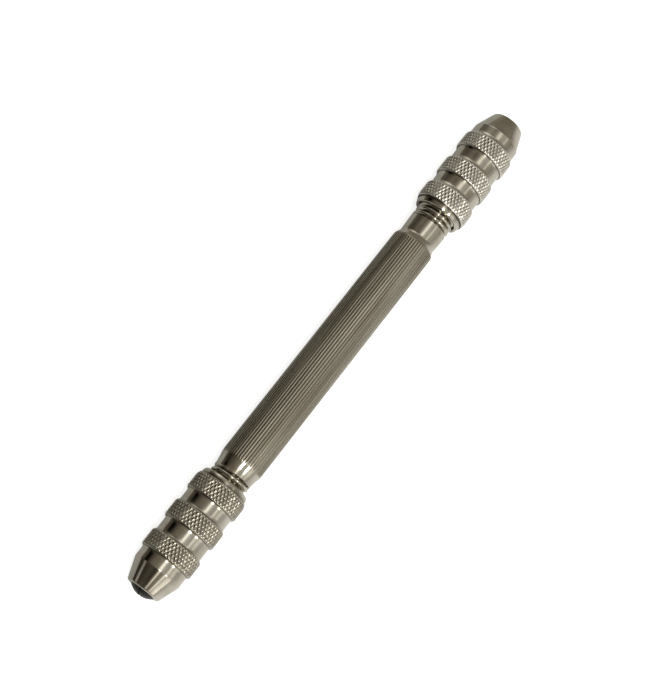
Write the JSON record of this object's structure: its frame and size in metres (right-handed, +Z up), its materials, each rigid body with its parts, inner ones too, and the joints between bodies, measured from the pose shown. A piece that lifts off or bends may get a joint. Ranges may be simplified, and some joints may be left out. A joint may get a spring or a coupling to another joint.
{
  "type": "double-ended pin vise",
  "caption": "Slim steel hand drill: a fluted handle with a threaded collet chuck and a knurled, cone-nosed nut at each end, for small twist drills.",
  "frame": {"origin": "on the tool's axis at the middle of the fluted handle", "axes": "X runs along the tool, towards the chuck whose nut stands further out; Z is up as the tool lies on a bench"},
  "size_m": [0.1017, 0.0094, 0.0094],
  "materials": {
    "handle_nickel": "nickel-plated steel, drawn and fluted, lightly dulled by handling",
    "nut_nickel": "bright nickel-plated steel, turned and knurled",
    "collet_steel": "hardened steel with a dark oiled finish"
  },
  "bodies": {
    "handle": {"handle": "handle_nickel"},
    "right_collet": {"right_collet_sleeve": "collet_steel"},
    "right_nut": {"right_nut": "nut_nickel"},
    "right_front_jaw_1": {"right_front_jaw_1": "collet_steel"},
    "right_front_jaw_2": {"right_front_jaw_2": "collet_steel"},
    "right_front_jaw_3": {"right_front_jaw_3": "collet_steel"},
    "right_front_jaw_4": {"right_front_jaw_4": "collet_steel"},
    "right_rear_jaw_1": {"right_rear_jaw_1": "collet_steel"},
    "right_rear_jaw_2": {"right_rear_jaw_2": "collet_steel"},
    "right_rear_jaw_3": {"right_rear_jaw_3": "collet_steel"},
    "right_rear_jaw_4": {"right_rear_jaw_4": "collet_steel"},
    "left_collet": {"left_collet_sleeve": "collet_steel"},
    "left_nut": {"left_nut": "nut_nickel"},
    "left_front_jaw_1": {"left_front_jaw_1": "collet_steel"},
    "left_front_jaw_2": {"left_front_jaw_2": "collet_steel"},
    "left_front_jaw_3": {"left_front_jaw_3": "collet_steel"},
    "left_front_jaw_4": {"left_front_jaw_4": "collet_steel"},
    "left_rear_jaw_1": {"left_rear_jaw_1": "collet_steel"},
    "left_rear_jaw_2": {"left_rear_jaw_2": "collet_steel"},
    "left_rear_jaw_3": {"left_rear_jaw_3": "collet_steel"},
    "left_rear_jaw_4": {"left_rear_jaw_4": "collet_steel"}
  },
  "joints": [
    {"name": "right_nut_turn", "type": "hinge", "parent": "handle", "child": "right_collet", "pos_m": [0.03786, 0, 0], "axis": [1, 0, 0], "range_deg": [-1044, 1476]},
    {"name": "right_nut_travel", "type": "slide", "parent": "right_collet", "child": "right_nut", "axis": [1, 0, 0], "range_m": [-0.0029, 0.0041]},
    {"name": "right_front_jaw_1_flex", "type": "hinge", "parent": "right_collet", "child": "right_front_jaw_1", "pos_m": [0.03986, 0.00127, 0.00127], "axis": [0, -0.7071, 0.7071], "range_deg": [-0.37286, 0.52714]},
    {"name": "right_front_jaw_2_flex", "type": "hinge", "parent": "right_collet", "child": "right_front_jaw_2", "pos_m": [0.03986, -0.00127, 0.00127], "axis": [0, -0.7071, -0.7071], "range_deg": [-0.37286, 0.52714]},
    {"name": "right_front_jaw_3_flex", "type": "hinge", "parent": "right_collet", "child": "right_front_jaw_3", "pos_m": [0.03986, -0.00127, -0.00127], "axis": [0, 0.7071, -0.7071], "range_deg": [-0.37286, 0.52714]},
    {"name": "right_front_jaw_4_flex", "type": "hinge", "parent": "right_collet", "child": "right_front_jaw_4", "pos_m": [0.03986, 0.00127, -0.00127], "axis": [0, 0.7071, 0.7071], "range_deg": [-0.37286, 0.52714]},
    {"name": "right_rear_jaw_1_flex", "type": "hinge", "parent": "right_collet", "child": "right_rear_jaw_1", "pos_m": [0.03586, -0.0018, 0], "axis": [0, 0, 1], "range_deg": [-0.145, 0.205]},
    {"name": "right_rear_jaw_2_flex", "type": "hinge", "parent": "right_collet", "child": "right_rear_jaw_2", "pos_m": [0.03586, 0, 0.0018], "axis": [0, 1, 0], "range_deg": [-0.145, 0.205]},
    {"name": "right_rear_jaw_3_flex", "type": "hinge", "parent": "right_collet", "child": "right_rear_jaw_3", "pos_m": [0.03586, 0.0018, 0], "axis": [0, 0, -1], "range_deg": [-0.145, 0.205]},
    {"name": "right_rear_jaw_4_flex", "type": "hinge", "parent": "right_collet", "child": "right_rear_jaw_4", "pos_m": [0.03586, 0, -0.0018], "axis": [0, -1, 0], "range_deg": [-0.145, 0.205]},
    {"name": "left_nut_turn", "type": "hinge", "parent": "handle", "child": "left_collet", "pos_m": [-0.03786, 0, 0], "axis": [-1, 0, 0], "range_deg": [0, 2520]},
    {"name": "left_nut_travel", "type": "slide", "parent": "left_collet", "child": "left_nut", "axis": [-1, 0, 0], "range_m": [0, 0.007]},
    {"name": "left_front_jaw_1_flex", "type": "hinge", "parent": "left_collet", "child": "left_front_jaw_1", "pos_m": [-0.03986, -0.00127, 0.00127], "axis": [0, 0.7071, 0.7071], "range_deg": [0, 0.9]},
    {"name": "left_front_jaw_2_flex", "type": "hinge", "parent": "left_collet", "child": "left_front_jaw_2", "pos_m": [-0.03986, 0.00127, 0.00127], "axis": [0, 0.7071, -0.7071], "range_deg": [0, 0.9]},
    {"name": "left_front_jaw_3_flex", "type": "hinge", "parent": "left_collet", "child": "left_front_jaw_3", "pos_m": [-0.03986, 0.00127, -0.00127], "axis": [0, -0.7071, -0.7071], "range_deg": [0, 0.9]},
    {"name": "left_front_jaw_4_flex", "type": "hinge", "parent": "left_collet", "child": "left_front_jaw_4", "pos_m": [-0.03986, -0.00127, -0.00127], "axis": [0, -0.7071, 0.7071], "range_deg": [0, 0.9]},
    {"name": "left_rear_jaw_1_flex", "type": "hinge", "parent": "left_collet", "child": "left_rear_jaw_1", "pos_m": [-0.03586, 0.0018, 0], "axis": [0, 0, 1], "range_deg": [0, 0.35]},
    {"name": "left_rear_jaw_2_flex", "type": "hinge", "parent": "left_collet", "child": "left_rear_jaw_2", "pos_m": [-0.03586, 0, 0.0018], "axis": [0, -1, 0], "range_deg": [0, 0.35]},
    {"name": "left_rear_jaw_3_flex", "type": "hinge", "parent": "left_collet", "child": "left_rear_jaw_3", "pos_m": [-0.03586, -0.0018, 0], "axis": [0, 0, -1], "range_deg": [0, 0.35]},
    {"name": "left_rear_jaw_4_flex", "type": "hinge", "parent": "left_collet", "child": "left_rear_jaw_4", "pos_m": [-0.03586, 0, -0.0018], "axis": [0, 1, 0], "range_deg": [0, 0.35]}
  ],
  "couplings": [
    {"joint": "right_nut_travel", "follows": "right_nut_turn", "m_per_rad": 0.00015915},
    {"joint": "right_front_jaw_1_flex", "follows": "right_nut_turn", "ratio": 0.00035714},
    {"joint": "right_front_jaw_2_flex", "follows": "right_nut_turn", "ratio": 0.00035714},
    {"joint": "right_front_jaw_3_flex", "follows": "right_nut_turn", "ratio": 0.00035714},
    {"joint": "right_front_jaw_4_flex", "follows": "right_nut_turn", "ratio": 0.00035714},
    {"joint": "right_rear_jaw_1_flex", "follows": "right_nut_turn", "ratio": 0.00013889},
    {"joint": "right_rear_jaw_2_flex", "follows": "right_nut_turn", "ratio": 0.00013889},
    {"joint": "right_rear_jaw_3_flex", "follows": "right_nut_turn", "ratio": 0.00013889},
    {"joint": "right_rear_jaw_4_flex", "follows": "right_nut_turn", "ratio": 0.00013889},
    {"joint": "left_nut_travel", "follows": "left_nut_turn", "m_per_rad": 0.00015915},
    {"joint": "left_front_jaw_1_flex", "follows": "left_nut_turn", "ratio": 0.00035714},
    {"joint": "left_front_jaw_2_flex", "follows": "left_nut_turn", "ratio": 0.00035714},
    {"joint": "left_front_jaw_3_flex", "follows": "left_nut_turn", "ratio": 0.00035714},
    {"joint": "left_front_jaw_4_flex", "follows": "left_nut_turn", "ratio": 0.00035714},
    {"joint": "left_rear_jaw_1_flex", "follows": "left_nut_turn", "ratio": 0.00013889},
    {"joint": "left_rear_jaw_2_flex", "follows": "left_nut_turn", "ratio": 0.00013889},
    {"joint": "left_rear_jaw_3_flex", "follows": "left_nut_turn", "ratio": 0.00013889},
    {"joint": "left_rear_jaw_4_flex", "follows": "left_nut_turn", "ratio": 0.00013889}
  ]
}
